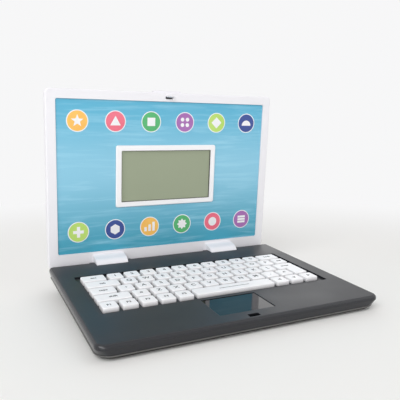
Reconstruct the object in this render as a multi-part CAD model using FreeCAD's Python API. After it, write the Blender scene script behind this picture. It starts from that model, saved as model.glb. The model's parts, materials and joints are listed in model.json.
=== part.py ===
import FreeCAD, Part
import math
import os

V = FreeCAD.Vector

# Sizes are in millimetres and angles in degrees.

# Base shells, measured in the plane of the deck
case_width = 282.0
case_depth = 201.7
deck_slope = 3.5  # the deck falls this much toward the front
front_height = 14.5  # table to deck at the front edge
side_height = 11.0  # deck to the parting line of the two shells
deck_thickness = 2.0
wall = 2.2
side_band = 4.2  # upright band of the side walls, under the deck
deck_corner = 8.0  # plan radius of the deck's front corners
rear_corner = 4.5  # plan radius of the rear corners
rim_corner = 13.0  # plan radius of the front corners at the parting line
rim_inset = 1.5  # how far the side walls lean in from the band down to the parting line
rim_chamfer = 0.7  # along the lower edge of the top shell
rim_step = 0.9  # the bottom shell starts this far inside the top shell
edge_round = 3.0
belly_lean = 0.5  # how far the bottom shell leans in, per unit of depth
foot_height = 1.6
foot_radius = 7.0
foot_sink = 0.8  # depth of a foot's seat in the floor
foot_play = 0.1
foot_inset_x = 25.0
foot_inset_y = 22.0

# Keyboard
deck_side = 18.0  # deck beside the well
deck_rear = 43.25  # deck behind the well
well_side = 4.375  # from the key block to the well's edge, at the left and right, before its shift
key_shift = -1.5  # of the key block from the middle of the well
well_front = 4.4
well_rear = 5.8
well_corner = 2.0
key_rise = 2.2  # key tops above the deck
key_travel = 2.0
key_web = 2.7  # grid bar between two keys
key_clearance = 0.25
key_draft = 0.15  # how far each side of a cap leans in
key_bevel = 0.45
key_corner = 1.5
key_skin = 1.3
flange_gap = 0.5  # between the flanges of two keys
flange_height = 1.0
flange_play = 0.2  # between a flange and the grid above it
plunger = 4.0  # width of a key's plunger
grid_thickness = 1.6
grid_lip = 1.8  # how far the grid reaches under the deck
grid_skirt = 1.6
dome_height = 2.6
dome_foot = 6.6  # width at the sheet
dome_crown = 4.6  # width at the plunger
mat_thickness = 1.2
board_thickness = 1.6
board_margin = 3.2  # of the board past the middle of its screws, at the left and right
chip_radius = 6.0  # round drop of resin over the chip, under the board
chip_height = 1.2

# Touchpad
pad_width = 57.4
pad_front = 16.2  # deck in front of the touchpad
pad_bridge = 3.8  # deck between the touchpad and the well
pad_recess = 0.5
pad_lip = 1.2
pad_clearance = 0.3
pad_flange = 1.2
pad_corner = 0.8

# Screws
screw_radius = 1.3
screw_head_radius = 2.5
screw_head = 1.4
screw_bite = 5.0  # length of thread past the piece that is held
screw_clearance = 0.05
screw_hole_play = 0.3  # round a thread that passes through a piece
screw_head_play = 0.4
screw_end_play = 0.4  # past the end of a thread
boss_radius = 3.4
post_skin = 1.2  # the posts of the bottom shell are this much thicker than a boss
case_screw_inset_x = 16.0
case_screw_inset_y = 15.0
middle_screw_x = 52.0
case_screw_seat = 1.2  # material under the head, at the parting line
board_screw_inset = 4.0  # from the board's front and rear edges
boss_gap = 0.4  # between the key grid and the bosses beside it
board_bite = 3.5  # length of thread above the board

# Batteries, in a row along the width
cell_radius = 7.25
cell_length = 50.5
cell_nub_radius = 2.75
cell_nub = 1.2
cell_count = 3
cell_play = 1.35  # round the cells
spring_length = 5.0
contact_thickness = 0.5
contact_size = 12.0
bay_wall = 2.4
bay_gap = 1.75  # from the board to the bay behind it
door_ledge = 1.2  # of the bay's wall over the door
door_clearance = 0.3
door_corner = 1.0
door_tail = 12.0  # the end of the door that takes its screw

# Speaker, over sound holes in the floor
speaker_radius = 20.0
speaker_height = 5.0
speaker_inset = 52.0  # its middle, from the left edge of the case
speaker_y = 103.0
speaker_ring = 1.5
speaker_play = 0.2
sound_hole = 1.3
sound_pitch = 5.5

# Hinges: the lid's lugs turn on pins in knuckles at the rear of the base
hinge_inset = 0.7  # pin axis in front of the rear edge
hinge_drop = 6.0  # pin axis below the deck
lid_open_angle = 89.1  # between the deck and the lid's face
closed_clearance = 0.65  # from the key tops to the closed lid
lug_x = 72.0
lug_width = 36.6
lug_radius = 10.5
lug_rise = 12.0  # top of the lug's ramp on the lid's face, above the pin axis
lug_gap = 0.5
lug_clearance = 0.6
knuckle_width = 5.0
knuckle_drop = 0.2  # knuckle's top below the deck
pocket_wall = 1.8
pin_radius = 2.0
pin_play = 0.06
pin_fit = 0.02

# Lid, measured in the plane of its face from its bottom edge
lid_side = 1.5  # the lid's sides inside those of the case
lid_front = 3.5  # closed lid's edge behind the front edge of the deck
frame_thickness = 5.0
cover_thickness = 9.0
lid_wall = 2.0
lid_corner = 5.0
frame_round = 1.2
cover_round = 4.0
panel_side = 10.5
panel_bottom = 15.3
panel_top = 10.2
panel_corner = 2.0
panel_recess = 1.2
panel_thickness = 0.6
panel_clearance = 0.2
backing = 1.8  # frame's wall behind the panel
bezel_side = 6.3
bezel_rim = 5.9  # above and below the window
bezel_bottom = 65.8
bezel_corner = 2.5
bezel_proud = 0.3
bezel_bevel = 0.8
window_width = 113.4
window_height = 59.4
window_corner = 1.0
lcd_lap = 2.8  # of the screen under the bezel
lcd_thickness = 2.8
lcd_clearance = 0.3
lcd_board_side = 9.5  # of the screen's board past the screen
lcd_board_rim = 7.5
lid_screw_inset = 7.0
lid_screw_seat = 4.5  # material under the head of a cover screw
cover_bite = 3.4  # length of thread in the frame
lcd_bite = 2.0  # length of thread in the bosses behind the screen
hook_width = 9.0
hook_reach = 5.6
hook_thickness = 1.8
hook_barb = 0.9
hook_from_top = 3.4  # hook's middle below the lid's top edge
hook_slot = 3.0
latch_clearance = 1.0
lip_width = 34.0
lip_rise = 2.0
lip_thickness = 6.0

# Keys from the rear row to the front row, each with its width in units.
# The enter key lies over the ends of the third and fourth rows.
key_rows = [
    [("escape_key", 1.5)] + [("number_keys", 1)] * 10 + [("backspace_key", 1.5)],
    [("tab_key", 2)] + [("top_letter_keys", 1)] * 10 + [("delete_key", 1)],
    [("caps_key", 1.5), ("music_key", 1)] + [("key_" + c, 1) for c in "asdfghjkl"] + [("enter_key", 1.5)],
    [("shift_key", 2), ("symbol_key", 1)]
    + [("key_" + c, 1) for c in "zxcvbnm"]
    + [("comma_key", 1), ("up_key", 1), ("enter_key", 1)],
    [("function_key_%d" % n, 1) for n in range(1, 6)]
    + [("space_key", 5), ("left_key", 1), ("down_key", 1), ("right_key", 1)],
]

# Values worked out from the sizes above
far = 2 * (case_width + case_depth)
half_width = case_width / 2
floor_top = foot_height + wall
well_x = half_width - deck_side
keys_width = 2 * (well_x - well_side)
key_pitch = keys_width / sum(units for _, units in key_rows[0])
well_y1 = case_depth - deck_rear
key_front = well_y1 - well_rear - len(key_rows) * key_pitch
well_y0 = key_front - well_front
pad_y1 = well_y0 - pad_bridge
grid_top = -deck_thickness
flange_top = grid_top - grid_thickness - flange_play
flange_bottom = flange_top - flange_height
mat_top = flange_bottom - dome_height
board_top = mat_top - mat_thickness
board_bottom = board_top - board_thickness
board_screw_x = well_x + grid_lip + boss_gap + boss_radius
board_x = board_screw_x + board_margin
bay_y = well_y1 + grid_lip + bay_gap + bay_wall + cell_radius + cell_play
speaker_x = speaker_inset - half_width
hinge_y = case_depth - hinge_inset
hinge_offset = hinge_drop + key_rise + closed_clearance
lug_half = lug_width / 2 + lug_gap
lid_width = case_width - 2 * lid_side
lid_height = hinge_y - lid_front
panel_width = lid_width - 2 * panel_side
panel_height = lid_height - panel_bottom - panel_top
bezel_width = window_width + 2 * bezel_side
bezel_height = window_height + 2 * bezel_rim
lcd_width = window_width + 2 * lcd_lap
lcd_height = window_height + 2 * lcd_lap
lcd_board_width = lcd_width + 2 * lcd_board_side
lcd_board_height = lcd_height + 2 * lcd_board_rim
cover_top = -frame_thickness
cover_back = -frame_thickness - cover_thickness
panel_seat = -panel_recess - panel_thickness
backing_bottom = panel_seat - backing
lcd_bottom = panel_seat - lcd_thickness
lcd_y = bezel_bottom + bezel_height / 2

# Deck frame: x to the right, y to the rear from the front edge, z up from the deck.
deck_place = FreeCAD.Placement(V(0, 0, front_height), FreeCAD.Rotation(V(1, 0, 0), deck_slope))

# Lid frame: x to the right, y up the lid from its bottom edge, z out of its face.
lid_turn = FreeCAD.Placement(
    V(0, hinge_y, -hinge_drop), FreeCAD.Rotation(V(1, 0, 0), 180 - lid_open_angle)
)
lid_rest = FreeCAD.Placement(V(0, 0, -hinge_offset), FreeCAD.Rotation())
lid_place = deck_place.multiply(lid_turn).multiply(lid_rest)


def outline(x0, x1, y0, y1, radius, z, rear=None):
    """Rectangle with round corners, as a wire. Its rear corners may have a radius of their own."""
    r, q = radius, radius if rear is None else rear
    h, k = r * (1 - math.sqrt(0.5)), q * (1 - math.sqrt(0.5))
    corners = [
        ((x0, y0 + r), (x0 + h, y0 + h), (x0 + r, y0)),
        ((x1 - r, y0), (x1 - h, y0 + h), (x1, y0 + r)),
        ((x1, y1 - q), (x1 - k, y1 - k), (x1 - q, y1)),
        ((x0 + q, y1), (x0 + k, y1 - k), (x0, y1 - q)),
    ]
    edges = []
    for i, (a, b, c) in enumerate(corners):
        following = corners[(i + 1) % 4][0]
        edges.append(Part.Arc(V(*a, z), V(*b, z), V(*c, z)).toShape())
        edges.append(Part.makeLine(V(*c, z), V(*following, z)))
    return Part.Wire(edges)


def block(x0, x1, y0, y1, z0, z1, radius=0.0):
    """Upright block, with round vertical edges if a radius is given."""
    if radius == 0.0:
        return Part.makeBox(x1 - x0, y1 - y0, z1 - z0, V(x0, y0, z0))
    return Part.Face(outline(x0, x1, y0, y1, radius, z0)).extrude(V(0, 0, z1 - z0))


def plate(width, y0, y1, z0, z1, radius=0.0):
    """Block that is centred on x."""
    return block(-width / 2, width / 2, y0, y1, z0, z1, radius)


def taper(*wires):
    return Part.makeLoft(list(wires), True, True)


def rod(x, y, z0, z1, radius):
    return Part.makeCylinder(radius, z1 - z0, V(x, y, z0))


def shaft(x0, x1, y, z, radius):
    return Part.makeCylinder(radius, x1 - x0, V(x0, y, z), V(1, 0, 0))


def join(shapes):
    return shapes[0].multiFuse(shapes[1:]).removeSplitter() if len(shapes) > 1 else shapes[0]


def edges_at(shape, z):
    return [e for e in shape.Edges if all(abs(v.Z - z) < 1e-6 for v in e.Vertexes)]


def placed(shape, placement):
    moved = shape.copy()
    moved.Placement = placement.multiply(moved.Placement)
    return moved


def on_deck(shape):
    return placed(shape, deck_place)


def on_lid(shape):
    return placed(shape, lid_place)


# Base shells


def case_outline(inset, corner, rear, z):
    return outline(-half_width + inset, half_width - inset, inset, case_depth - inset, corner, z, rear)


def upper_form():
    """Outer form of the top shell."""
    shoulder = case_outline(0, deck_corner, rear_corner, -side_band)
    lean = taper(
        case_outline(rim_inset + rim_chamfer, rim_corner - rim_chamfer, rear_corner, -side_height),
        case_outline(rim_inset, rim_corner, rear_corner, -side_height + rim_chamfer),
        shoulder,
    )
    band = Part.Face(shoulder).extrude(V(0, 0, side_band))
    band = band.makeFillet(edge_round, edges_at(band, 0))
    return lean.fuse(band).removeSplitter()


def belly_form(inset, floor):
    """Bottom shell's form inside an inset from its walls, down to a floor that is level with the table."""
    depth = front_height + case_depth * math.sin(math.radians(deck_slope))
    start = rim_inset + rim_step + inset
    form = taper(
        case_outline(start + belly_lean * depth, rim_corner - inset, rear_corner - inset, -side_height - depth),
        case_outline(start, rim_corner - inset, rear_corner - inset, -side_height),
    )
    return on_deck(form).cut(block(-far, far, -far, far, -far, floor))


def case_screw_places():
    x = half_width - case_screw_inset_x
    y0, y1 = case_screw_inset_y, case_depth - case_screw_inset_y
    return [(-x, y0), (x, y0), (-x, y1), (x, y1), (-middle_screw_x, y0), (middle_screw_x, y0)]


def board_screw_places():
    x = board_screw_x
    y0, y1 = well_y0 - grid_lip + board_screw_inset, well_y1 + grid_lip - board_screw_inset
    return [(-x, y0), (x, y0), (-x, y1), (x, y1)]


def pocket_radius():
    """Room for a lug: how far from the pin the ramp's corner passes the deck when the lid is closed."""
    reach = math.hypot(hinge_offset, lug_rise)
    turn = math.atan2(lug_rise, hinge_offset) + math.acos(lug_radius / reach) + math.pi / 2
    across = (lug_radius - hinge_drop * math.sin(turn)) / math.cos(turn)
    return max(math.hypot(across, hinge_drop), lug_radius) + lug_clearance


def hinge_housing(clearance=0.0):
    """Round housings of both lugs, with the knuckles at their ends, before the pockets are cut."""
    radius = pocket_radius() + pocket_wall + clearance
    reach = lug_half + knuckle_width + clearance
    return [shaft(x - reach, x + reach, hinge_y, -hinge_drop, radius) for x in (-lug_x, lug_x)]


def knuckles():
    radius = hinge_drop - knuckle_drop
    discs = []
    for x in (-lug_x, lug_x):
        for side in (-1, 1):
            inner = x + side * lug_half
            outer = inner + side * knuckle_width
            discs.append(shaft(min(inner, outer), max(inner, outer), hinge_y, -hinge_drop, radius))
    return discs


def base_top_shell():
    form = upper_form()
    cavity = taper(
        case_outline(rim_inset + wall, rim_corner - wall, rear_corner - wall, -side_height),
        case_outline(wall, deck_corner - wall, rear_corner - wall, -deck_thickness),
    )
    shell = form.cut(cavity)

    below_deck = block(-far, far, -far, far, -far, -deck_thickness / 2)
    belly = placed(belly_form(0, foot_height), deck_place.inverse())
    housing = join(hinge_housing()).common(form.fuse(belly)).common(below_deck)
    bosses = [rod(x, y, -side_height, -deck_thickness, boss_radius) for x, y in case_screw_places()]
    bosses += [rod(x, y, board_top, -deck_thickness, boss_radius) for x, y in board_screw_places()]
    shell = join([shell, housing] + knuckles() + bosses)

    hook_y = hinge_y - (lid_height - hook_from_top)
    latch = hook_thickness / 2 + hook_barb + latch_clearance
    cuts = [
        plate(2 * well_x, well_y0, well_y1, -far, far, well_corner),
        pad_plate(-pad_clearance, -far, far),
        plate(hook_width + 2 * latch_clearance, hook_y - latch, hook_y + latch, -far, far, pad_corner),
    ]
    for x in (-lug_x, lug_x):
        cuts.append(shaft(x - lug_half, x + lug_half, hinge_y, -hinge_drop, pocket_radius()))
        reach = lug_half + knuckle_width + 1
        cuts.append(shaft(x - reach, x + reach, hinge_y, -hinge_drop, pin_radius + pin_fit))
    pilot = screw_radius + screw_clearance
    for x, y in case_screw_places():
        cuts.append(rod(x, y, -side_height - 1, -side_height + screw_bite + screw_end_play, pilot))
    for x, y in board_screw_places():
        cuts.append(rod(x, y, board_top - 1, board_top + board_bite + screw_end_play, pilot))
    return on_deck(shell.cut(cuts))


def bay_reach():
    """Inner size of the battery bay: half its length and half its depth."""
    length = cell_count * cell_length + spring_length + 2 * contact_thickness
    return length / 2, cell_radius + cell_play


def bay_top():
    return floor_top + 2 * cell_radius + cell_play / 2


def door_size():
    """Left end, right end and half depth of the door, which reaches past the bay at its right end."""
    x, y = bay_reach()
    return -x - door_ledge, x + door_ledge + door_tail, y + door_ledge


def door_screw_x():
    return bay_reach()[0] + door_ledge + door_tail / 2


def door_seat():
    """Height of the face in the door that its screw's head is drawn against."""
    return foot_height + screw_head / 2


def foot_places():
    x, y0, y1 = half_width - foot_inset_x, foot_inset_y, case_depth - foot_inset_y
    return [(-x, y0), (x, y0), (-x, y1), (x, y1)]


def sound_places():
    places = [(0.0, 0.0)]
    for ring in (1, 2):
        for n in range(6 * ring):
            turn = 2 * math.pi * n / (6 * ring)
            places.append((ring * sound_pitch * math.cos(turn), ring * sound_pitch * math.sin(turn)))
    return [(speaker_x + x, speaker_y + y) for x, y in places]


def base_bottom_shell():
    form = belly_form(0, foot_height)
    shell = form.cut(belly_form(wall, floor_top))

    posts = [on_deck(rod(x, y, -far, -side_height, boss_radius + post_skin)) for x, y in case_screw_places()]
    x, y = bay_reach()
    outer_x, outer_y = x + bay_wall, y + bay_wall
    bay = block(-outer_x, outer_x, bay_y - outer_y, bay_y + outer_y, foot_height, bay_top() + bay_wall / 2)
    x0, x1, door_y = door_size()
    screw_top = floor_top + screw_bite + screw_end_play
    bridge = block(x, x1 + wall, bay_y - boss_radius, bay_y + boss_radius, floor_top, screw_top + wall / 2)
    ring_radius = speaker_radius + speaker_play + speaker_ring
    ring = rod(speaker_x, speaker_y, foot_height, floor_top + speaker_height / 2, ring_radius)
    shell = join([shell, join(posts).common(form), bay, bridge, ring])

    cuts = [
        block(-x, x, bay_y - y, bay_y + y, -far, bay_top()),
        block(x0, x1, bay_y - door_y, bay_y + door_y, -far, floor_top, door_corner),
        rod(speaker_x, speaker_y, floor_top, far, speaker_radius + speaker_play),
        rod(door_screw_x(), bay_y, -far, screw_top, screw_radius + screw_clearance),
    ]
    cuts += [on_deck(h) for h in hinge_housing(lug_clearance / 2)]
    cuts += [rod(x, y, -far, far, sound_hole) for x, y in sound_places()]
    cuts += [rod(x, y, -far, foot_height + foot_sink, foot_radius + foot_play) for x, y in foot_places()]
    seat = -side_height - case_screw_seat
    for x, y in case_screw_places():
        cuts.append(on_deck(rod(x, y, -far, far, screw_radius + screw_hole_play)))
        cuts.append(on_deck(rod(x, y, -far, seat, screw_head_radius + screw_head_play)))
    return shell.cut(cuts)


def battery_door():
    x0, x1, half = door_size()
    c = door_clearance
    door = block(x0 + c, x1 - c, bay_y - half + c, bay_y + half - c, foot_height, floor_top, door_corner)
    head = rod(door_screw_x(), bay_y, -far, door_seat(), screw_head_radius + screw_head_play)
    return door.cut([head, rod(door_screw_x(), bay_y, -far, far, screw_radius + screw_hole_play)])


def aa_batteries():
    x0 = -bay_reach()[0] + contact_thickness + spring_length
    z = floor_top + cell_radius
    cells = []
    for n in range(cell_count):
        start = x0 + n * cell_length
        can = shaft(start, start + cell_length - cell_nub, bay_y, z, cell_radius)
        cells.append(can.fuse(shaft(start, start + cell_length, bay_y, z, cell_nub_radius)).removeSplitter())
    return Part.makeCompound(cells)


def battery_contacts():
    x = bay_reach()[0]
    z = floor_top + cell_radius
    half = contact_size / 2
    left = block(-x, -x + contact_thickness, bay_y - half, bay_y + half, z - half, z + half)
    root = V(-x + contact_thickness, bay_y, z)
    spring = Part.makeCone(contact_size / 2.5, cell_nub_radius, spring_length, root, V(1, 0, 0))
    right = block(x - contact_thickness, x, bay_y - half, bay_y + half, z - half, z + half)
    return Part.makeCompound([left.fuse(spring).removeSplitter(), right])


def speaker():
    basket = rod(speaker_x, speaker_y, floor_top, floor_top + speaker_height / 2, speaker_radius)
    magnet = rod(speaker_x, speaker_y, floor_top, floor_top + speaker_height, speaker_radius / 2)
    return basket.fuse(magnet).removeSplitter()


def rubber_feet():
    feet = []
    for x, y in foot_places():
        foot = rod(x, y, 0, foot_height + foot_sink, foot_radius)
        feet.append(foot.makeChamfer(foot_height / 3, edges_at(foot, 0)[:1]))
    return Part.makeCompound(feet)


def screw(x, y, seat, reach, radius=screw_radius):
    """Screw from below: its head under a seat and its thread up to a reach."""
    head = rod(x, y, seat - screw_head, seat, screw_head_radius)
    return head.fuse(rod(x, y, seat - screw_head, reach, radius)).removeSplitter()


def base_screws():
    case_seat = -side_height - case_screw_seat
    screws = [on_deck(screw(x, y, case_seat, -side_height + screw_bite)) for x, y in case_screw_places()]
    screws += [on_deck(screw(x, y, board_bottom, board_top + board_bite)) for x, y in board_screw_places()]
    screws.append(screw(door_screw_x(), bay_y, door_seat(), floor_top + screw_bite))
    return Part.makeCompound(screws)


def hinge_pins():
    reach = lug_half + knuckle_width
    pins = [shaft(x - reach, x + reach, hinge_y, -hinge_drop, pin_radius) for x in (-lug_x, lug_x)]
    return on_deck(Part.makeCompound(pins))


# Keyboard


def key_cells():
    """Each key as a name and its cells, which are boxes of x0, x1, y0 and y1 on the pitch."""
    cells = []
    for n, row in enumerate(key_rows):
        x = key_shift - keys_width / 2
        y1 = key_front + (len(key_rows) - n) * key_pitch
        for name, units in row:
            box = (x, x + units * key_pitch, y1 - key_pitch, y1)
            x = box[1]
            earlier = [c for c in cells if c[0] == name and name == "enter_key"]
            if earlier:
                earlier[0][1].append(box)
            else:
                cells.append((name, [box]))
    return cells


def shrunk(box, inset):
    return box[0] + inset, box[1] - inset, box[2] + inset, box[3] - inset


def key_solid(form, boxes):
    """Joins a form made for each of a key's cells, with a bridge where the key goes on into the next row."""
    if len(boxes) == 1:
        return form(boxes[0])
    upper, lower = boxes
    bridge = (max(upper[0], lower[0]), min(upper[1], lower[1]), lower[2], upper[3])
    return form(upper).fuse(form(bridge)).removeSplitter()


def key_cap(box):
    """Cap that leans in toward its top, with a bevel round the top face."""
    inset = key_web / 2 + key_clearance
    radius = key_corner
    shoulder = key_rise - key_bevel
    return taper(
        outline(*shrunk(box, inset), radius, flange_top),
        outline(*shrunk(box, inset + key_draft), radius, shoulder),
        outline(*shrunk(box, inset + key_draft + key_bevel), radius, key_rise),
    )


def key_flange(box):
    return block(*shrunk(box, flange_gap / 2), flange_bottom, flange_top)


def key_hollow(box):
    inset = key_web / 2 + key_clearance + key_draft + key_skin
    return block(*shrunk(box, inset), flange_bottom, key_rise - key_skin)


def key_middle(boxes):
    x0, x1, y0, y1 = boxes[0]
    return (x0 + x1) / 2, (y0 + y1) / 2


def key(boxes):
    x, y = key_middle(boxes)
    half = plunger / 2
    body = key_solid(key_cap, boxes).fuse(key_solid(key_flange, boxes))
    body = body.cut(key_solid(key_hollow, boxes))
    post = block(x - half, x + half, y - half, y + half, flange_bottom, key_rise - key_skin / 2)
    return on_deck(body.fuse(post).removeSplitter())


def keys():
    """Every key by its node's name. The two groups hold ten keys each."""
    solids = {}
    for name, boxes in key_cells():
        solids.setdefault(name, []).append(key(boxes))
    return {name: Part.makeCompound(found) for name, found in solids.items()}


def grid_plate(inset, z0, z1, radius):
    reach = grid_lip - inset
    return plate(2 * (well_x + reach), well_y0 - reach, well_y1 + reach, z0, z1, radius)


def key_grid():
    bottom = grid_top - grid_thickness
    grid = grid_plate(0, mat_top, grid_top, well_corner)
    grid = grid.cut(grid_plate(grid_skirt, mat_top, bottom, well_corner / 2))

    def hole(box):
        return block(*shrunk(box, key_web / 2), bottom - 1, grid_top + 1)

    return on_deck(grid.cut([key_solid(hole, boxes) for _, boxes in key_cells()]))


def key_mat():
    domes = []
    for _, boxes in key_cells():
        x, y = key_middle(boxes)
        squares = []
        for z, half in ((mat_top, dome_foot / 2), (mat_top + dome_height, dome_crown / 2)):
            corners = [(x - half, y - half), (x + half, y - half), (x + half, y + half), (x - half, y + half)]
            squares.append(Part.makePolygon([V(*c, z) for c in corners + corners[:1]]))
        domes.append(taper(*squares))
    return on_deck(join([grid_plate(0, board_top, mat_top, well_corner)] + domes))


def circuit_board():
    board = plate(2 * board_x, well_y0 - grid_lip, well_y1 + grid_lip, board_bottom, board_top)
    chip = rod(well_x / 2, (well_y0 + well_y1) / 2, board_bottom - chip_height, board_bottom, chip_radius)
    hole = screw_radius + screw_hole_play
    holes = [rod(x, y, board_bottom - 1, board_top + 1, hole) for x, y in board_screw_places()]
    return on_deck(board.fuse(chip).cut(holes))


def pad_plate(inset, z0, z1):
    return plate(pad_width - 2 * inset, pad_front + inset, pad_y1 - inset, z0, z1, pad_corner)


def touchpad():
    """Glossy pad that fills its opening from below, with a flange under the deck."""
    pad = pad_plate(0, -deck_thickness, -pad_recess)
    flange = pad_plate(-pad_lip, -deck_thickness - pad_flange, -deck_thickness)
    return on_deck(pad.fuse(flange).removeSplitter())


# Lid


def lid_lugs():
    """Barrel round each pin, with a ramp that runs from it up to the lid's face."""
    reach = math.hypot(hinge_offset, lug_rise)
    turn = math.atan2(lug_rise, hinge_offset) + math.acos(lug_radius / reach)
    touch = (lug_radius * math.sin(turn), hinge_offset - lug_radius * math.cos(turn))
    sunk = -frame_thickness / 2
    profile = [(0, hinge_offset), touch, (lug_rise, 0), (lug_rise, sunk), (0, sunk), (0, hinge_offset)]
    lugs = []
    for x in (-lug_x, lug_x):
        left = x - lug_width / 2
        ramp = Part.Face(Part.makePolygon([V(left, y, z) for y, z in profile])).extrude(V(lug_width, 0, 0))
        lugs.append(shaft(left, left + lug_width, 0, hinge_offset, lug_radius).fuse(ramp))
    return lugs


def latch_hook():
    y = lid_height - hook_from_top
    half = hook_thickness / 2
    stem = plate(hook_width, y - half, y + half, -frame_thickness / 2, hook_reach)
    under = hook_reach - 2 * hook_barb
    profile = [(y - half, hook_reach), (y - half - hook_barb, under), (y - half, under)]
    points = [V(-hook_width / 2, py, pz) for py, pz in profile + profile[:1]]
    return stem.fuse(Part.Face(Part.makePolygon(points)).extrude(V(hook_width, 0, 0)))


def cover_screw_places():
    x = lid_width / 2 - lid_screw_inset
    y0, y1 = lid_screw_inset, lid_height - lid_screw_inset
    return [(sx * x, y) for sx in (-1, 1) for y in (y0, (y0 + y1) / 2, y1)]


def lcd_screw_places():
    x, y = lcd_board_width / 2 - boss_radius, lcd_board_height / 2 - boss_radius
    return [(sx * x, lcd_y + sy * y) for sx in (-1, 1) for sy in (-1, 1)]


def cover_screw_end():
    return -frame_thickness + cover_bite


def lcd_screw_end():
    return lcd_bottom + lcd_bite


def lcd_opening(width, height, z0, z1, corner):
    return plate(width, lcd_y - height / 2, lcd_y + height / 2, z0, z1, corner)


def panel_plate(inset, z0, z1, corner):
    y0, y1 = panel_bottom + inset, panel_bottom + panel_height - inset
    return plate(panel_width - 2 * inset, y0, y1, z0, z1, corner)


def lid_front_frame():
    frame = plate(lid_width, 0, lid_height, -frame_thickness, 0, lid_corner)
    frame = frame.makeFillet(frame_round, edges_at(frame, 0))
    hollow = panel_plate(lid_wall, -frame_thickness, backing_bottom, panel_corner)
    bosses = [rod(x, y, lcd_bottom, panel_seat, boss_radius) for x, y in lcd_screw_places()]
    frame = frame.cut([panel_plate(0, panel_seat, 1, panel_corner), hollow])
    frame = join([frame, latch_hook()] + lid_lugs() + bosses)

    c = lcd_clearance
    slot_y = lid_height - hook_from_top - hook_thickness / 2 - hook_slot
    pilot, end = screw_radius + screw_clearance, screw_end_play
    cuts = [
        lcd_opening(lcd_width + 2 * c, lcd_height + 2 * c, -frame_thickness - 1, 1, window_corner),
        plate(hook_width, slot_y, slot_y + hook_slot, -frame_thickness - 1, frame_round, hook_slot / 5),
        shaft(-lid_width, lid_width, 0, hinge_offset, pin_radius + pin_play),
    ]
    cuts += [rod(x, y, -frame_thickness - 1, cover_screw_end() + end, pilot) for x, y in cover_screw_places()]
    cuts += [rod(x, y, -frame_thickness - 1, lcd_screw_end() + end, pilot) for x, y in lcd_screw_places()]
    return on_lid(frame.cut(cuts))


def lid_back_cover():
    cover = plate(lid_width, 0, lid_height, cover_back, cover_top, lid_corner)
    cover = cover.makeFillet(cover_round, edges_at(cover, cover_back))
    back, y1 = cover_back + lid_wall, lid_height - lid_wall
    inside = plate(lid_width - 2 * lid_wall, lid_wall, y1, back, cover_top, lid_corner - lid_wall)
    lip_z = (cover_back + cover_top - lip_thickness) / 2
    lip_y = lid_height + lip_rise
    lip = plate(lip_width, lid_height - lid_wall, lip_y, lip_z, lip_z + lip_thickness, lip_rise / 2)
    posts = [rod(x, y, back - lid_wall / 2, cover_top, boss_radius) for x, y in cover_screw_places()]
    cover = join([cover.cut(inside), lip] + posts)
    seat = cover_top - lid_screw_seat
    cuts = []
    for x, y in cover_screw_places():
        cuts.append(rod(x, y, cover_back - 1, seat, screw_head_radius + screw_head_play))
        cuts.append(rod(x, y, cover_back - 1, cover_top + 1, screw_radius + screw_hole_play))
    return on_lid(cover.cut(cuts))


def screen_panel():
    sheet = panel_plate(panel_clearance, panel_seat, -panel_recess, panel_corner)
    c = panel_clearance
    return on_lid(sheet.cut(lcd_opening(bezel_width + 2 * c, bezel_height + 2 * c, -far, far, bezel_corner)))


def screen_bezel():
    half = bezel_width / 2
    y0, y1 = bezel_bottom, bezel_bottom + bezel_height
    box = (-half, half, y0, y1)
    ring = taper(
        outline(*box, bezel_corner, panel_seat),
        outline(*box, bezel_corner, bezel_proud - bezel_bevel),
        outline(*shrunk(box, bezel_bevel), bezel_corner, bezel_proud),
    )
    return on_lid(ring.cut(lcd_opening(window_width, window_height, -far, far, window_corner)))


def lcd_screen():
    return on_lid(lcd_opening(lcd_width, lcd_height, lcd_bottom, panel_seat, window_corner))


def lcd_board():
    back = lcd_bottom - board_thickness
    board = lcd_opening(lcd_board_width, lcd_board_height, back, lcd_bottom, window_corner)
    holes = [rod(x, y, -far, far, screw_radius + screw_hole_play) for x, y in lcd_screw_places()]
    return on_lid(board.cut(holes))


def lid_screws():
    seat = cover_top - lid_screw_seat
    screws = [screw(x, y, seat, cover_screw_end()) for x, y in cover_screw_places()]
    screws += [screw(x, y, lcd_bottom - board_thickness, lcd_screw_end()) for x, y in lcd_screw_places()]
    return on_lid(Part.makeCompound(screws))


def assembly():
    """Every node by name, standing on the table with the middle of its box over the origin."""
    makers = [
        base_top_shell, base_bottom_shell, key_grid, key_mat, circuit_board, touchpad, speaker,
        aa_batteries, battery_contacts, battery_door, rubber_feet, base_screws, hinge_pins,
        lid_front_frame, lid_back_cover, screen_panel, screen_bezel, lcd_screen, lcd_board, lid_screws,
    ]
    nodes = {make.__name__: make() for make in makers}
    nodes.update(keys())
    low = min(shape.optimalBoundingBox(False).YMin for shape in nodes.values())
    high = max(shape.optimalBoundingBox(False).YMax for shape in nodes.values())
    stand = FreeCAD.Placement(V(0, -(low + high) / 2, 0), FreeCAD.Rotation())
    return {name: placed(shape, stand) for name, shape in nodes.items()}, stand


def main():
    os.makedirs("parts", exist_ok=True)
    nodes, _ = assembly()
    for name, shape in nodes.items():
        shape.exportStep("parts/%s.step" % name)
    print(len(nodes), "nodes,", sum(len(shape.Solids) for shape in nodes.values()), "solids")


main()
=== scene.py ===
import json
import math
import bmesh
import bpy
from mathutils import Matrix, Vector


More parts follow.
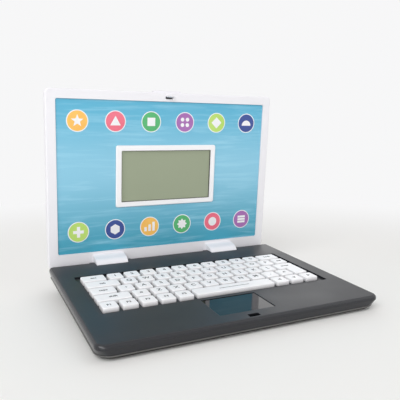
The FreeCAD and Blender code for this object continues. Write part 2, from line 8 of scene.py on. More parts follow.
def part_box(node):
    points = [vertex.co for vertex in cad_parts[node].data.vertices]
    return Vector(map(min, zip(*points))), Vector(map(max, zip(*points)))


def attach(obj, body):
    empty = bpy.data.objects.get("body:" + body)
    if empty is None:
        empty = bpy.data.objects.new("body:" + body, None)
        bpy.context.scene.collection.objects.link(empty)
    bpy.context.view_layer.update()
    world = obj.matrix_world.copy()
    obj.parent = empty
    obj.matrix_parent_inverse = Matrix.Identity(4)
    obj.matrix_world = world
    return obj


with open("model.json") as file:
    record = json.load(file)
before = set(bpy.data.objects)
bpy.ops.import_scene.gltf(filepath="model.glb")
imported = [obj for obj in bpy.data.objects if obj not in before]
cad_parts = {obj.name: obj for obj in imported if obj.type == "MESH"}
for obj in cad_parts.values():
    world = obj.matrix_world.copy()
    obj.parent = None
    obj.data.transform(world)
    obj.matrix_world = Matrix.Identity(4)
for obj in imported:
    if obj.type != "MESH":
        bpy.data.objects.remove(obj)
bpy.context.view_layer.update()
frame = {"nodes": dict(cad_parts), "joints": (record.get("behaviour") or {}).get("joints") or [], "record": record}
nodes = frame["nodes"]
joints = {joint["name"]: joint for joint in frame["joints"]}
print("frame loaded:", len(nodes), "nodes")

# Places on the deck and on the lid, taken from the joints
mm = 0.001
pressAxis = Vector(joints["press_space_key"]["axis"])
deckSlope = math.atan2(pressAxis.y, -pressAxis.z)
deckTurn = Matrix.Rotation(deckSlope, 4, "X")
hinge = joints["lid_hinge"]
hingePlace = Vector(hinge["pos_m"])
lidSettings = {
    "hingeToFace": 8.85,  # from the pin axis to the face of the lid
    "panelDepth": 1.2,  # printed sheet below the face
}
lidTurn = Matrix.Rotation(deckSlope + math.pi - math.radians(hinge["range_deg"][1]), 4, "X")
lidFace = Matrix.Translation((0, 0, -lidSettings["hingeToFace"] * mm))
lidPlace = Matrix.Translation(hingePlace) @ lidTurn @ lidFace
bodies = frame["record"]["behaviour"]["bodies"]
bodyOf = {node: body for body, members in bodies.items() for node in members}


# Node helpers

def newMaterial(name):
    material = bpy.data.materials.new(name)
    material.use_nodes = True
    tree = material.node_tree
    return material, tree, tree.nodes["Principled BSDF"]


def addNode(tree, kind, **values):
    node = tree.nodes.new(kind)
    for key, value in values.items():
        if hasattr(node, key):
            setattr(node, key, value)
        else:
            node.inputs[key.replace("_", " ")].default_value = value
    return node


def newGroup(name, inputs, outputs):
    tree = bpy.data.node_groups.new(name, "ShaderNodeTree")
    for label, kind, value in inputs:
        socket = tree.interface.new_socket(label, in_out="INPUT", socket_type=kind)
        if value is not None:
            socket.default_value = value
    for label, kind in outputs:
        tree.interface.new_socket(label, in_out="OUTPUT", socket_type=kind)
    return tree, tree.nodes.new("NodeGroupInput"), tree.nodes.new("NodeGroupOutput")


def placeGroup(tree, group, **values):
    node = tree.nodes.new("ShaderNodeGroup")
    node.node_tree = group
    for key, value in values.items():
        node.inputs[key].default_value = value
    return node


def link(tree, source, target):
    tree.links.new(source, target)


# Shared effects

def makeGrainGroup():
    tree, given, made = newGroup(
        "mouldedGrain",
        [("Size", "NodeSocketFloat", 0.4), ("Amount", "NodeSocketFloat", 0.5)],
        [("Height", "NodeSocketFloat"), ("Cloud", "NodeSocketFloat")],
    )
    place = addNode(tree, "ShaderNodeTexCoord")
    scale = addNode(tree, "ShaderNodeMath", operation="DIVIDE")
    scale.inputs[0].default_value = 1 / mm
    link(tree, given.outputs["Size"], scale.inputs[1])
    grain = addNode(tree, "ShaderNodeTexNoise", Detail=2.0, Roughness=0.6)
    link(tree, place.outputs["Object"], grain.inputs["Vector"])
    link(tree, scale.outputs[0], grain.inputs["Scale"])
    height = addNode(tree, "ShaderNodeMath", operation="MULTIPLY")
    link(tree, grain.outputs["Fac"], height.inputs[0])
    link(tree, given.outputs["Amount"], height.inputs[1])
    cloud = addNode(tree, "ShaderNodeTexNoise", Scale=22.0, Detail=1.5, Roughness=0.5)
    link(tree, place.outputs["Object"], cloud.inputs["Vector"])
    link(tree, height.outputs[0], made.inputs["Height"])
    link(tree, cloud.outputs["Fac"], made.inputs["Cloud"])
    return tree


def makeSpanGroup():
    tree, given, made = newGroup(
        "valueSpan",
        [
            ("Mask", "NodeSocketFloat", 0.5),
            ("Low", "NodeSocketFloat", 0.3),
            ("High", "NodeSocketFloat", 0.5),
        ],
        [("Value", "NodeSocketFloat")],
    )
    span = addNode(tree, "ShaderNodeMapRange")
    span.inputs["From Min"].default_value = 0.3
    span.inputs["From Max"].default_value = 0.7
    link(tree, given.outputs["Mask"], span.inputs["Value"])
    link(tree, given.outputs["Low"], span.inputs["To Min"])
    link(tree, given.outputs["High"], span.inputs["To Max"])
    link(tree, span.outputs["Result"], made.inputs["Value"])
    return tree


grainGroup = makeGrainGroup()
spanGroup = makeSpanGroup()


def mouldedMaterial(name, look):
    material, tree, shader = newMaterial(name)
    grain = placeGroup(tree, grainGroup, Size=look["grain"], Amount=look.get("amount", 0.5))
    rough = placeGroup(tree, spanGroup, Low=look["rough"][0], High=look["rough"][1])
    link(tree, grain.outputs["Cloud"], rough.inputs["Mask"])
    roughness = rough.outputs["Value"]
    if "topRough" in look:
        top = placeGroup(tree, spanGroup, Low=look["topRough"][0], High=look["topRough"][1])
        link(tree, grain.outputs["Cloud"], top.inputs["Mask"])
        place = addNode(tree, "ShaderNodeTexCoord")
        split = addNode(tree, "ShaderNodeSeparateXYZ")
        link(tree, place.outputs["Normal"], split.inputs[0])
        upward = addNode(tree, "ShaderNodeMapRange")
        upward.inputs["From Min"].default_value = look["topFrom"][0]
        upward.inputs["From Max"].default_value = look["topFrom"][1]
        link(tree, split.outputs["Z"], upward.inputs["Value"])
        facing = addNode(tree, "ShaderNodeMix", data_type="FLOAT")
        link(tree, upward.outputs["Result"], facing.inputs["Factor"])
        link(tree, roughness, facing.inputs["A"])
        link(tree, top.outputs["Value"], facing.inputs["B"])
        roughness = facing.outputs["Result"]
    link(tree, roughness, shader.inputs["Roughness"])
    tint = addNode(tree, "ShaderNodeMix", data_type="RGBA")
    tint.inputs["A"].default_value = (*look["dark"], 1)
    tint.inputs["B"].default_value = (*look["light"], 1)
    link(tree, grain.outputs["Cloud"], tint.inputs["Factor"])
    color = tint.outputs["Result"]
    # Painted shade: an ambient occlusion term darkens the colour where a neighbour is near, as in the gaps between
    # keys.
    if "creviceShade" in look:
        near = addNode(tree, "ShaderNodeAmbientOcclusion", samples=16, Distance=look["creviceShade"][0] * mm)
        shade = addNode(tree, "ShaderNodeMix", data_type="RGBA")
        shade.inputs["A"].default_value = (*(c * look["creviceShade"][1] for c in look["dark"]), 1)
        link(tree, near.outputs["AO"], shade.inputs["Factor"])
        link(tree, color, shade.inputs["B"])
        color = shade.outputs["Result"]
    link(tree, color, shader.inputs["Base Color"])
    bump = addNode(tree, "ShaderNodeBump", Strength=look["bump"], Distance=0.0001)
    link(tree, grain.outputs["Height"], bump.inputs["Height"])
    if "bevel" in look:
        bevel = addNode(tree, "ShaderNodeBevel", Radius=look["bevel"] * mm)
        link(tree, bevel.outputs["Normal"], bump.inputs["Normal"])
    link(tree, bump.outputs["Normal"], shader.inputs["Normal"])
    shader.inputs["Metallic"].default_value = look.get("metal", 0.0)
    shader.inputs["IOR"].default_value = look.get("ior", 1.5)
    shader.inputs["Coat Weight"].default_value = look.get("coat", 0.0)
    return material


# Finishes of the moulded, rubber and metal pieces. Colour and roughness vary between two limits, and grain
# and bevel are in millimetres. A creviceShade is painted shade: how far off a neighbour darkens a face's colour,
# and by which factor.
finishes = {
    "case": {"dark": (0.011, 0.012, 0.016), "light": (0.016, 0.017, 0.021), "rough": (0.18, 0.24),
             "topRough": (0.40, 0.48), "topFrom": (0.75, 0.97), "grain": 0.45, "bump": 0.06, "bevel": 0.5,
             "ior": 1.5},
    "tray": {"dark": (0.006, 0.006, 0.006), "light": (0.010, 0.010, 0.010), "rough": (0.18, 0.24),
             "grain": 0.6, "bump": 0.05, "bevel": 0.4, "ior": 1.6},
    # The lip's pale colour is a painted highlight along the parting line.
    "lip": {"dark": (0.070, 0.069, 0.066), "light": (0.095, 0.093, 0.089), "rough": (0.22, 0.30),
            "grain": 0.6, "bump": 0.05},
    "pad": {"dark": (0.003, 0.003, 0.004), "light": (0.005, 0.005, 0.007), "rough": (0.03, 0.07),
            "grain": 6.0, "bump": 0.02, "ior": 1.4},
    "key": {"dark": (0.92, 0.91, 0.93), "light": (0.95, 0.94, 0.955), "rough": (0.36, 0.46),
            "grain": 0.5, "bump": 0.12, "bevel": 0.5, "creviceShade": (3.4, 0.1)},
    "lid": {"dark": (0.79, 0.78, 0.82), "light": (0.84, 0.83, 0.86), "rough": (0.28, 0.38),
            "grain": 0.8, "bump": 0.06, "bevel": 0.5},
    "bezel": {"dark": (0.87, 0.86, 0.88), "light": (0.91, 0.90, 0.92), "rough": (0.28, 0.38),
              "grain": 0.8, "bump": 0.06, "bevel": 0.5},
    "silicone": {"dark": (0.45, 0.45, 0.43), "light": (0.55, 0.55, 0.52), "rough": (0.55, 0.7),
                 "grain": 1.0, "bump": 0.2},
    "rubber": {"dark": (0.014, 0.014, 0.014), "light": (0.026, 0.026, 0.026), "rough": (0.65, 0.8),
               "grain": 0.6, "bump": 0.5},
    "board": {"dark": (0.02, 0.15, 0.06), "light": (0.04, 0.24, 0.10), "rough": (0.35, 0.5),
              "grain": 1.5, "bump": 0.2},
    "steel": {"dark": (0.50, 0.50, 0.52), "light": (0.62, 0.62, 0.64), "rough": (0.25, 0.4),
              "grain": 0.4, "bump": 0.2, "metal": 1.0},
    "jacket": {"dark": (0.05, 0.05, 0.06), "light": (0.12, 0.12, 0.13), "rough": (0.3, 0.4),
               "grain": 2.0, "bump": 0.05},
}
materials = {name: mouldedMaterial(name + "Finish", look) for name, look in finishes.items()}


# Printed sheet: a pale sky blue that deepens downward, with soft streaks

panelLook = {
    "top": (0.105, 0.430, 0.620),
    "middle": (0.250, 0.560, 0.730),
    "bottom": (0.060, 0.350, 0.490),
    "middleAt": 0.55,
    "stroke": (0.380, 0.690, 0.840),
    "slant": 24.0,  # degrees, before the streaks are stretched
    "stretch": (9, 1, 120),
    "strokeFrom": (0.48, 0.80),
    "strokeMost": 0.60,
    "rough": (0.30, 0.40),
}


def makePanelMaterial(look):
    material, tree, shader = newMaterial("panelPrint")
    place = addNode(tree, "ShaderNodeTexCoord")
    split = addNode(tree, "ShaderNodeSeparateXYZ")
    link(tree, place.outputs["Object"], split.inputs[0])
    low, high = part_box("screen_panel")
    rise = addNode(tree, "ShaderNodeMapRange")
    rise.inputs["From Min"].default_value = low.z
    rise.inputs["From Max"].default_value = high.z
    link(tree, split.outputs["Z"], rise.inputs["Value"])
    ramp = addNode(tree, "ShaderNodeValToRGB")
    steps = ramp.color_ramp
    steps.interpolation = "EASE"
    steps.elements[0].color = (*look["bottom"], 1)
    steps.elements[1].color = (*look["top"], 1)
    middle = steps.elements.new(look["middleAt"])
    middle.color = (*look["middle"], 1)
    link(tree, rise.outputs["Result"], ramp.inputs["Fac"])
    turned = addNode(tree, "ShaderNodeMapping")
    turned.inputs["Rotation"].default_value = (0, math.radians(look["slant"]), 0)
    turned.inputs["Scale"].default_value = look["stretch"]
    link(tree, place.outputs["Object"], turned.inputs["Vector"])
    stroke = addNode(tree, "ShaderNodeTexNoise", Scale=1.6, Detail=5.0, Roughness=0.55, Distortion=0.5)
    link(tree, turned.outputs["Vector"], stroke.inputs["Vector"])
    mask = addNode(tree, "ShaderNodeMapRange")
    mask.inputs["From Min"].default_value = look["strokeFrom"][0]
    mask.inputs["From Max"].default_value = look["strokeFrom"][1]
    mask.inputs["To Max"].default_value = look["strokeMost"]
    link(tree, stroke.outputs["Fac"], mask.inputs["Value"])
    mixed = addNode(tree, "ShaderNodeMix", data_type="RGBA")
    link(tree, mask.outputs["Result"], mixed.inputs["Factor"])
    link(tree, ramp.outputs["Color"], mixed.inputs["A"])
    mixed.inputs["B"].default_value = (*look["stroke"], 1)
    link(tree, mixed.outputs["Result"], shader.inputs["Base Color"])
    grain = placeGroup(tree, grainGroup, Size=3.0, Amount=0.4)
    rough = placeGroup(tree, spanGroup, Low=look["rough"][0], High=look["rough"][1])
    link(tree, grain.outputs["Cloud"], rough.inputs["Mask"])
    link(tree, rough.outputs["Value"], shader.inputs["Roughness"])
    return material


# Unlit display: a plain grey-green that varies very little

lcdLook = {"dark": (0.295, 0.334, 0.230), "light": (0.316, 0.356, 0.248), "rough": (0.27, 0.29)}


def makeLcdMaterial(look):
    material, tree, shader = newMaterial("displayGlass")
    place = addNode(tree, "ShaderNodeTexCoord")
    cloud = addNode(tree, "ShaderNodeTexNoise", Scale=6.0, Detail=0.0)
    link(tree, place.outputs["Object"], cloud.inputs["Vector"])
    tint = addNode(tree, "ShaderNodeMix", data_type="RGBA")
    link(tree, cloud.outputs["Fac"], tint.inputs["Factor"])
    tint.inputs["A"].default_value = (*look["dark"], 1)
    tint.inputs["B"].default_value = (*look["light"], 1)
    link(tree, tint.outputs["Result"], shader.inputs["Base Color"])
    rough = placeGroup(tree, spanGroup, Low=look["rough"][0], High=look["rough"][1])
    link(tree, cloud.outputs["Fac"], rough.inputs["Mask"])
    link(tree, rough.outputs["Value"], shader.inputs["Roughness"])
    return material


materials["panel"] = makePanelMaterial(panelLook)
materials["lcd"] = makeLcdMaterial(lcdLook)

nodeFinish = {
    "case": ["base_top_shell", "key_grid"],
    "tray": ["base_bottom_shell", "battery_door"],
    "pad": ["touchpad"],
    "lid": ["lid_front_frame", "lid_back_cover"],
    "bezel": ["screen_bezel"],
    "panel": ["screen_panel"],
    "lcd": ["lcd_screen"],
    "silicone": ["key_mat"],
    "rubber": ["rubber_feet"],
    "board": ["circuit_board", "lcd_board"],
    "steel": ["battery_contacts", "base_screws", "lid_screws", "hinge_pins"],
    "jacket": ["aa_batteries", "speaker"],
}
finishOf = {node: finish for finish, members in nodeFinish.items() for node in members}
for name, node in nodes.items():
    node.data.materials.clear()
    node.data.materials.append(materials[finishOf.get(name, "key")])
print("finishes set:", len(materials))


# Flat pieces of print, built in the plane of the lid's face or of a key's top

def flatMesh(name, outlines, depth, place, material):
    mesh = bmesh.new()
    for points in outlines:
        face = mesh.faces.new([mesh.verts.new((x * mm, y * mm, 0)) for x, y in points])
        if face.normal.z < 0:
            face.normal_flip()
    raised = bmesh.ops.extrude_face_region(mesh, geom=mesh.faces[:])
    top = [v for v in raised["geom"] if isinstance(v, bmesh.types.BMVert)]
    bmesh.ops.translate(mesh, verts=top, vec=(0, 0, depth * mm))
    bmesh.ops.recalc_face_normals(mesh, faces=mesh.faces[:])
    data = bpy.data.meshes.new(name)
    mesh.to_mesh(data)
    mesh.free()
    data.transform(place)
    data.materials.append(material)
    piece = bpy.data.objects.new(name, data)
    bpy.context.scene.collection.objects.link(piece)
    return piece


def ring(x, y, radius, count=40, start=0.0, sweep=360.0):
    steps = count if sweep == 360.0 else count + 1
    turns = [math.radians(start + sweep * n / count) for n in range(steps)]
    return [(x + radius * math.cos(t), y + radius * math.sin(t)) for t in turns]


def star(x, y, radius, inner, points):
    turns = [math.pi / 2 + math.pi * n / points for n in range(2 * points)]
    reach = [radius if n % 2 == 0 else inner for n in range(2 * points)]
    return [(x + r * math.cos(t), y + r * math.sin(t)) for r, t in zip(reach, turns)]


def bar(x, y, width, height):
    w, h = width / 2, height / 2
    return [(x - w, y - h), (x + w, y - h), (x + w, y + h), (x - w, y + h)]


def inkMaterial(name, low, high, rough=0.35):
    material, tree, shader = newMaterial(name)
    grain = placeGroup(tree, grainGroup, Size=2.0, Amount=0.5)
    tint = addNode(tree, "ShaderNodeMix", data_type="RGBA")
    tint.inputs["A"].default_value = (*low, 1)
    tint.inputs["B"].default_value = (*high, 1)
    link(tree, grain.outputs["Cloud"], tint.inputs["Factor"])
    link(tree, tint.outputs["Result"], shader.inputs["Base Color"])
    spread = placeGroup(tree, spanGroup, Low=rough, High=rough + 0.1)
    link(tree, grain.outputs["Cloud"], spread.inputs["Mask"])
    link(tree, spread.outputs["Value"], shader.inputs["Roughness"])
    return material


# Round shape buttons in a row above and a row below the screen
buttonSettings = {
    "radius": 12.0,
    "rim": 1.0,
    "rows": (164.0, 40.0),  # heights on the lid
    "columns": (-106.0, -63.6, -21.2, 21.2, 63.6, 106.0),
    "depth": 0.05,
    "ink": {
        "amber": ((0.85, 0.36, 0.05), (0.95, 0.62, 0.16)),
        "lime": ((0.36, 0.62, 0.09), (0.60, 0.76, 0.22)),
        "green": ((0.05, 0.36, 0.12), (0.12, 0.50, 0.20)),
        "rose": ((0.78, 0.10, 0.18), (0.86, 0.24, 0.30)),
        "plum": ((0.30, 0.09, 0.34), (0.42, 0.18, 0.48)),
        "navy": ((0.03, 0.06, 0.25), (0.05, 0.09, 0.32)),
        "white": ((0.80, 0.80, 0.82), (0.88, 0.88, 0.90)),
    },
    "order": ("amber", "rose", "green", "plum", "lime", "navy",
              "lime", "navy", "amber", "green", "rose", "plum"),
}


# White shape in the middle of each button, in millimetres
def motif(kind, x, y):
    if kind == 0:
        return [star(x, y, 7.0, 3.0, 5)]
    if kind == 1:
        return [star(x, y - 1.0, 7.0, 3.5, 3)[::2]]
    if kind == 2:
        return [bar(x, y, 9.5, 9.5)]
    if kind == 3:
        return [ring(x + 3.2 * sx, y + 3.2 * sy, 2.3, 20) for sx in (-1, 1) for sy in (-1, 1)]
    if kind == 4:
        return [ring(x, y, 6.8, 4, 0.0)]
    if kind == 5:
        return [ring(x, y - 3.0, 6.4, 24, 0.0, 180.0)]
    if kind == 6:
        return [bar(x, y, 12.0, 3.6), bar(x, y + 4.0, 3.6, 4.4), bar(x, y - 4.0, 3.6, 4.4)]
    if kind == 7:
        return [ring(x, y, 6.2, 6, 30.0)]
    if kind == 8:
        return [bar(x - 5.0, y - 3.0, 3.0, 5.0), bar(x, y - 1.5, 3.0, 8.0), bar(x + 5.0, y, 3.0, 11.0)]
    if kind == 9:
        return [star(x, y, 6.8, 4.6, 8)]
    if kind == 10:
        return [ring(x, y, 5.6, 32)]
    return [bar(x, y + 3.4, 11.0, 2.6), bar(x, y, 11.0, 2.6), bar(x, y - 3.4, 11.0, 2.6)]


def makeButtons(settings):
    inks = {name: inkMaterial(name + "Ink", *pair) for name, pair in settings["ink"].items()}
    sheet = -lidSettings["panelDepth"]
    depth = settings["depth"]
    spots = [(x, y) for y in settings["rows"] for x in settings["columns"]]
    for n, (x, y) in enumerate(spots):
        radius = settings["radius"]
        layers = [
            ("rim", [ring(x, y, radius)], inks["white"]),
            ("disc", [ring(x, y, radius - settings["rim"])], inks[settings["order"][n]]),
            ("shape", motif(n, x, y), inks["white"]),
        ]
        for level, (label, outlines, ink) in enumerate(layers):
            place = lidPlace @ Matrix.Translation((0, 0, (sheet + level * depth) * mm))
            piece = flatMesh("print_%s_%02d" % (label, n + 1), outlines, depth, place, ink)
            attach(piece, "lid")
    return inks


inks = makeButtons(buttonSettings)
print("panel print made")


# Thin trim: the lip along the parting line of the shells, its pale colour a painted highlight, and dark strips
# between screen and bezel, painted shade of the screen's recess
lipSettings = {
    "width": 282.0,
    "depth": 201.7,
    "hingeInset": 0.7,
    "hingeDrop": 6.0,
    "inset": 1.5,
    "drop": 10.4,  # below the deck
    "radius": 0.65,
    "frontCorner": 13.0,
    "rearCorner": 4.5,
    "rearEnd": 112.0,  # where the lip stops beside the hinges
    "sides": 10,
}
# Painted shade: dark strips at the foot of the bezel's recess stand for the shade inside it.
screenShadeStripSettings = {
    "width": 113.4,
    "height": 59.4,
    "middle": 101.4,  # height on the lid
    "strip": 0.45,
    "rise": 1.1,
    "glassDepth": 1.8,  # screen below the face of the lid
}


def arc(x, y, radius, start, end, count=9):
    turns = [math.radians(start + (end - start) * n / (count - 1)) for n in range(count)]
    return [(x + radius * math.cos(t), y + radius * math.sin(t)) for t in turns]


def makeLip(settings):
    half, near = settings["width"] / 2 - settings["inset"], settings["inset"]
    far = settings["depth"] - settings["inset"]
    rear, front = settings["rearCorner"], settings["frontCorner"]
    path = [(-settings["rearEnd"], far)]
    path += arc(-half + rear, far - rear, rear, 90, 180)
    path += arc(-half + front, near + front, front, 180, 270)
    path += [(-x, y) for x, y in reversed(path)]
    sides = settings["sides"]
    mesh = bmesh.new()
    loops = []
    for n, (x, y) in enumerate(path):
        before, after = Vector(path[max(n - 1, 0)]), Vector(path[min(n + 1, len(path) - 1)])
        ahead = (after - before).normalized()
        out = Vector((-ahead.y, ahead.x))
        loop = []
        for k in range(sides):
            turn = 2 * math.pi * k / sides
            r = settings["radius"] * math.cos(turn)
            z = settings["radius"] * math.sin(turn) - settings["drop"]
            loop.append(mesh.verts.new(((x + out.x * r) * mm, (y + out.y * r) * mm, z * mm)))
        loops.append(loop)
    for one, two in zip(loops, loops[1:]):
        for k in range(sides):
            mesh.faces.new((one[k], one[k - 1], two[k - 1], two[k])).smooth = True
    mesh.faces.new(loops[0])
    mesh.faces.new(loops[-1])
    bmesh.ops.recalc_face_normals(mesh, faces=mesh.faces[:])
    data = bpy.data.meshes.new("shell_lip")
    mesh.to_mesh(data)
    mesh.free()
    toFront = (settings["hingeInset"] - settings["depth"]) * mm
    start = Matrix.Translation((0, toFront, settings["hingeDrop"] * mm))
    data.transform(Matrix.Translation(hingePlace) @ deckTurn @ start)
    # Its pale colour paints the highlight along the parting line.
    data.materials.append(materials["lip"])
    piece = bpy.data.objects.new("shell_lip", data)
    bpy.context.scene.collection.objects.link(piece)
    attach(piece, bodyOf["base_top_shell"])


# Painted shade: dark strips round the screen, where the bezel's recess is in shade.
def makeScreenShadeStrips(settings):
    w, h, s = settings["width"], settings["height"], settings["strip"]
    y = settings["middle"]
    strips = [
        bar(0, y + (h - s) / 2, w, s),
        bar(0, y - (h - s) / 2, w, s),
        bar((w - s) / 2, y, s, h - 2 * s),
        bar((s - w) / 2, y, s, h - 2 * s),
    ]
    place = lidPlace @ Matrix.Translation((0, 0, -settings["glassDepth"] * mm))
    piece = flatMesh("screen_shade_strips", strips, settings["rise"], place, materials["rubber"])
    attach(piece, "lid")


makeLip(lipSettings)
makeScreenShadeStrips(screenShadeStripSettings)
print("trim made")


# Key legends: plain letters, digits, arrows and common words
legendSettings = {
    "letter": 7.0,
    "word": 4.8,
    "thicken": 0.14,  # of each stroke, on both sides
    "depth": 0.04,
    "flange": 0.25,  # from a group's flange to its cell
    "arrow": 2.4,  # radius
    "spaceLine": (34.0, 0.7),
    "digits": "1234567890",
    "topRow": "qwertyuiop",
    "words": {
        "escape_key": "esc", "backspace_key": "back", "tab_key": "tab", "delete_key": "del",
        "caps_key": "caps", "music_key": "+", "enter_key": "enter", "shift_key": "shift",
        "symbol_key": "#", "comma_key": ",", "function_key_1": "F1", "function_key_2": "F2",
        "function_key_3": "F3", "function_key_4": "F4", "function_key_5": "F5",
    },
    "arrows": {"up_key": 90, "left_key": 180, "down_key": 270, "right_key": 0},
}


def deckExtent(name):
    points = [deckTurn.inverted() @ v.co for v in nodes[name].data.vertices]
    low = [min(p[i] for p in points) for i in range(3)]
    high = [max(p[i] for p in points) for i in range(3)]
    return low, high


def deckSpot(x, y, z):
    return deckTurn @ Matrix.Translation((x, y, z))


def textMesh(name, words, size, place, material):
    curve = bpy.data.curves.new(name, "FONT")
    curve.body = words
    curve.size = size * mm
    curve.offset = legendSettings["thicken"] * mm
    curve.align_x = "CENTER"
    curve.align_y = "CENTER"
    curve.extrude = legendSettings["depth"] / 2 * mm
    curve.resolution_u = 3
    writer = bpy.data.objects.new(name, curve)
    bpy.context.scene.collection.objects.link(writer)
    bpy.context.view_layer.update()
    data = bpy.data.meshes.new_from_object(writer.evaluated_get(bpy.context.evaluated_depsgraph_get()))
    bpy.data.objects.remove(writer)
    data.name = name
    data.transform(place)
    data.materials.clear()
    data.materials.append(material)
    piece = bpy.data.objects.new(name, data)
    bpy.context.scene.collection.objects.link(piece)
    return piece


def makeLegends(settings):
    ink = inkMaterial("legendInk", (0.016, 0.016, 0.020), (0.030, 0.030, 0.036), 0.5)
    made = 0

    def settle(piece, node):
        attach(piece, bodyOf[node])

    rows = (("number_keys", settings["digits"]), ("top_letter_keys", settings["topRow"].upper()))
    for node, letters in rows:
        low, high = deckExtent(node)
        edge = settings["flange"] * mm
        pitch = (high[0] - low[0] + 2 * edge) / len(letters)
        for n, letter in enumerate(letters):
            place = deckSpot(low[0] - edge + (n + 0.5) * pitch, (low[1] + high[1]) / 2, high[2])
            name = "legend_%s_%d" % (node, n + 1)
            settle(textMesh(name, letter, settings["letter"], place, ink), node)
            made += 1
    for node in bodyOf:
        if node.startswith("key_") and len(node) == 5:
            words, size = node[-1].upper(), settings["letter"]
        elif node in settings["words"]:
            words, size = settings["words"][node], settings["word"]
        else:
            continue
        low, high = deckExtent(node)
        middle = (high[1] + low[1]) / 2 if node != "enter_key" else high[1] - (high[1] - low[1]) / 4
        place = deckSpot((low[0] + high[0]) / 2, middle, high[2])
        settle(textMesh("legend_" + node, words, size, place, ink), node)
        made += 1
    for node, turn in settings["arrows"].items():
        low, high = deckExtent(node)
        place = deckSpot((low[0] + high[0]) / 2, (low[1] + high[1]) / 2, high[2])
        outline = ring(0, 0, settings["arrow"], 3, turn)
        settle(flatMesh("legend_" + node, [outline], settings["depth"], place, ink), node)
        made += 1
    low, high = deckExtent("space_key")
    place = deckSpot((low[0] + high[0]) / 2, (low[1] + high[1]) / 2, high[2])
    line = bar(0, 0, *settings["spaceLine"])
    settle(flatMesh("legend_space_key", [line], settings["depth"], place, ink), "space_key")
    return made + 1


print("legends made:", makeLegends(legendSettings))


# Floor, light and camera
stageSettings = {
    "floorSize": 12.0,
    "floorColor": (0.875, 0.868, 0.85),
    "floorFade": (0.30, 0.85),  # metres from the object over which the floor turns into the background
    "skyStrength": 0.565,
    "backColor": (0.93, 0.93, 0.935),
    "lampTarget": (0, 0, 0.1),
    "keyLight": {"place": (-1.7, -1.2, 1.9), "size": 1.8, "power": 34.0},
    "fillLight": {"place": (1.5, -1.0, 1.3), "size": 1.6, "power": 3.0},
    "frontLight": {"place": (-0.9, -1.9, 0.6), "size": 1.4, "power": 14.0},
    "rearLight": {"place": (0.95, 1.75, 0.65), "size": 1.5, "power": 5.6},
}


def seenDirectly(tree):
    path = addNode(tree, "ShaderNodeLightPath")
    either = addNode(tree, "ShaderNodeMath", operation="MAXIMUM")
    link(tree, path.outputs["Is Camera Ray"], either.inputs[0])
    link(tree, path.outputs["Is Glossy Ray"], either.inputs[1])
    rays = addNode(tree, "ShaderNodeMath", operation="MAXIMUM")
    link(tree, either.outputs[0], rays.inputs[0])
    link(tree, path.outputs["Is Transmission Ray"], rays.inputs[1])
    return rays.outputs[0]


def makeFloor(settings):
    half = settings["floorSize"] / 2
    corners = [(-half, -half, 0), (half, -half, 0), (half, half, 0), (-half, half, 0)]
    data = bpy.data.meshes.new("floor")
    data.from_pydata(corners, [], [(0, 1, 2, 3)])
    floor = bpy.data.objects.new("floor", data)
    bpy.context.scene.collection.objects.link(floor)
    material, tree, shader = newMaterial("floorPaint")
    cloud = addNode(tree, "ShaderNodeTexNoise", Scale=1.2, Detail=2.0)
    tint = addNode(tree, "ShaderNodeMix", data_type="RGBA")
    link(tree, cloud.outputs["Fac"], tint.inputs["Factor"])
    tint.inputs["A"].default_value = (*settings["floorColor"], 1)
    tint.inputs["B"].default_value = (*(c * 1.02 for c in settings["floorColor"]), 1)
    link(tree, tint.outputs["Result"], shader.inputs["Base Color"])
    shader.inputs["Roughness"].default_value = 0.7

    place = addNode(tree, "ShaderNodeTexCoord")
    away = addNode(tree, "ShaderNodeVectorMath", operation="LENGTH")
    link(tree, place.outputs["Object"], away.inputs[0])
    fade = addNode(tree, "ShaderNodeMapRange", interpolation_type="SMOOTHSTEP")
    fade.inputs["From Min"].default_value = settings["floorFade"][0]
    fade.inputs["From Max"].default_value = settings["floorFade"][1]
    link(tree, away.outputs["Value"], fade.inputs["Value"])
    share = addNode(tree, "ShaderNodeMath", operation="MULTIPLY")
    link(tree, fade.outputs["Result"], share.inputs[0])
    link(tree, seenDirectly(tree), share.inputs[1])
    plain = addNode(tree, "ShaderNodeEmission")
    plain.inputs["Color"].default_value = (*settings["backColor"], 1)
    mixed = addNode(tree, "ShaderNodeMixShader")
    link(tree, share.outputs[0], mixed.inputs[0])
    link(tree, shader.outputs[0], mixed.inputs[1])
    link(tree, plain.outputs[0], mixed.inputs[2])
    link(tree, mixed.outputs[0], tree.nodes["Material Output"].inputs["Surface"])
    data.materials.append(material)


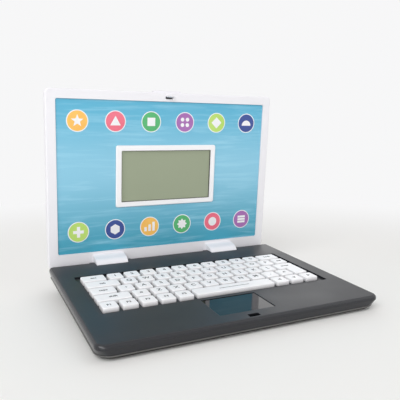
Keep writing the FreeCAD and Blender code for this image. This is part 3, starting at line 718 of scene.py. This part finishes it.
def makeSky(settings):
    world = bpy.data.worlds.new("sky")
    bpy.context.scene.world = world
    world.use_nodes = True
    tree = world.node_tree
    shade = tree.nodes["Background"]
    shade.inputs["Color"].default_value = (1.0, 1.0, 1.0, 1)
    shade.inputs["Strength"].default_value = settings["skyStrength"]
    seen = addNode(tree, "ShaderNodeBackground")
    seen.inputs["Color"].default_value = (*settings["backColor"], 1)
    mixed = addNode(tree, "ShaderNodeMixShader")
    link(tree, seenDirectly(tree), mixed.inputs[0])
    link(tree, shade.outputs[0], mixed.inputs[1])
    link(tree, seen.outputs[0], mixed.inputs[2])
    link(tree, mixed.outputs[0], tree.nodes["World Output"].inputs["Surface"])


def makeLamp(name, settings):
    lamp = bpy.data.lights.new(name, "AREA")
    lamp.shape = "SQUARE"
    lamp.size = settings["size"]
    lamp.energy = settings["power"]
    holder = bpy.data.objects.new(name, lamp)
    holder.location = settings["place"]
    holder.visible_camera = False
    toward = Vector(stageSettings["lampTarget"]) - holder.location
    holder.rotation_euler = toward.to_track_quat("-Z", "Y").to_euler()
    bpy.context.scene.collection.objects.link(holder)


# The camera's place and angles are measured in the deck's axes
cameraSettings = {
    "fromHinge": (-227.50, -538.81, 181.65),
    "azimuth": -26.45,
    "elevation": 10.45,
    "roll": 1.71,
    "lens": 44.97,
    "sensor": 36.0,
}


def makeCamera(settings):
    turn, rise = math.radians(settings["azimuth"]), math.radians(settings["elevation"])
    back = Vector((math.sin(turn) * math.cos(rise), -math.cos(turn) * math.cos(rise), math.sin(rise)))
    right = Vector((math.cos(turn), math.sin(turn), 0))
    up = back.cross(right)
    roll = math.radians(settings["roll"])
    tilted = right * math.cos(roll) + up * math.sin(roll)
    axes = Matrix((tilted, back.cross(tilted), back)).transposed().to_4x4()
    data = bpy.data.cameras.new("camera")
    data.lens = settings["lens"]
    data.sensor_width = settings["sensor"]
    camera = bpy.data.objects.new("camera", data)
    place = Matrix.Translation(Vector(settings["fromHinge"]) * mm)
    camera.matrix_world = Matrix.Translation(hingePlace) @ deckTurn @ place @ axes
    bpy.context.scene.collection.objects.link(camera)
    bpy.context.scene.camera = camera


makeFloor(stageSettings)
makeSky(stageSettings)
for name in ("keyLight", "fillLight", "frontLight", "rearLight"):
    makeLamp(name, stageSettings[name])
makeCamera(cameraSettings)
bpy.context.scene.view_settings.view_transform = "Standard"
print("stage set")
